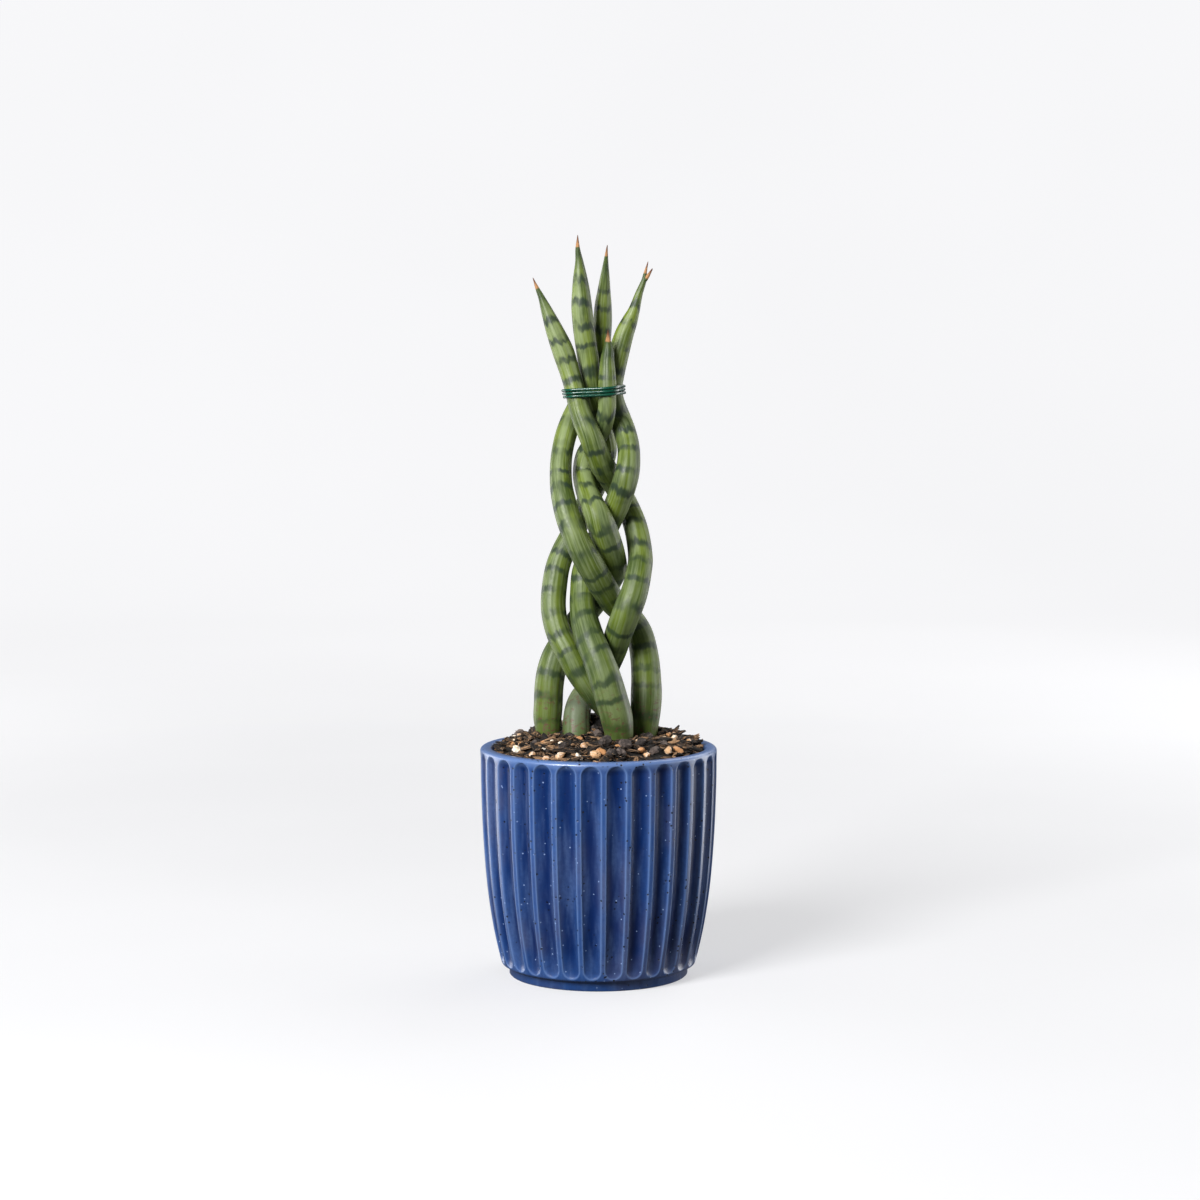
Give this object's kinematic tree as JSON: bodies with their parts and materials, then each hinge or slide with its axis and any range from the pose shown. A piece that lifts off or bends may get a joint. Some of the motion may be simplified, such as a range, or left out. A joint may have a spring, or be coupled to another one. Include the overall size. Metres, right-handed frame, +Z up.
{
  "type": "potted twister snake plant",
  "caption": "Braided cylindrical snake plant leaves tied with coated wire, standing in gritty potting mix in a fluted glazed ceramic pot.",
  "frame": {"origin": "centre of the pot's foot, on the surface that the pot stands on", "axes": "+Z up along the pot's axis and the plant's height, -Y towards the plant's front, +X to its right as seen from the front"},
  "size_m": [0.1506, 0.1506, 0.4685],
  "materials": {
    "pot_glaze": "satin blue glaze, paler on the rib edges and lip",
    "potting_mix": "rough dark bark chips with pale pumice grains",
    "leaf_skin": "waxy grey green with dark cross bands and dry brown tips",
    "wire_coating": "glossy dark green coating"
  },
  "bodies": {
    "root": {"pot": "pot_glaze", "soil": "potting_mix", "leaf_1": "leaf_skin", "leaf_2": "leaf_skin", "leaf_3": "leaf_skin", "leaf_4": "leaf_skin", "leaf_5": "leaf_skin", "tie_wire": "wire_coating"}
  },
  "joints": []
}
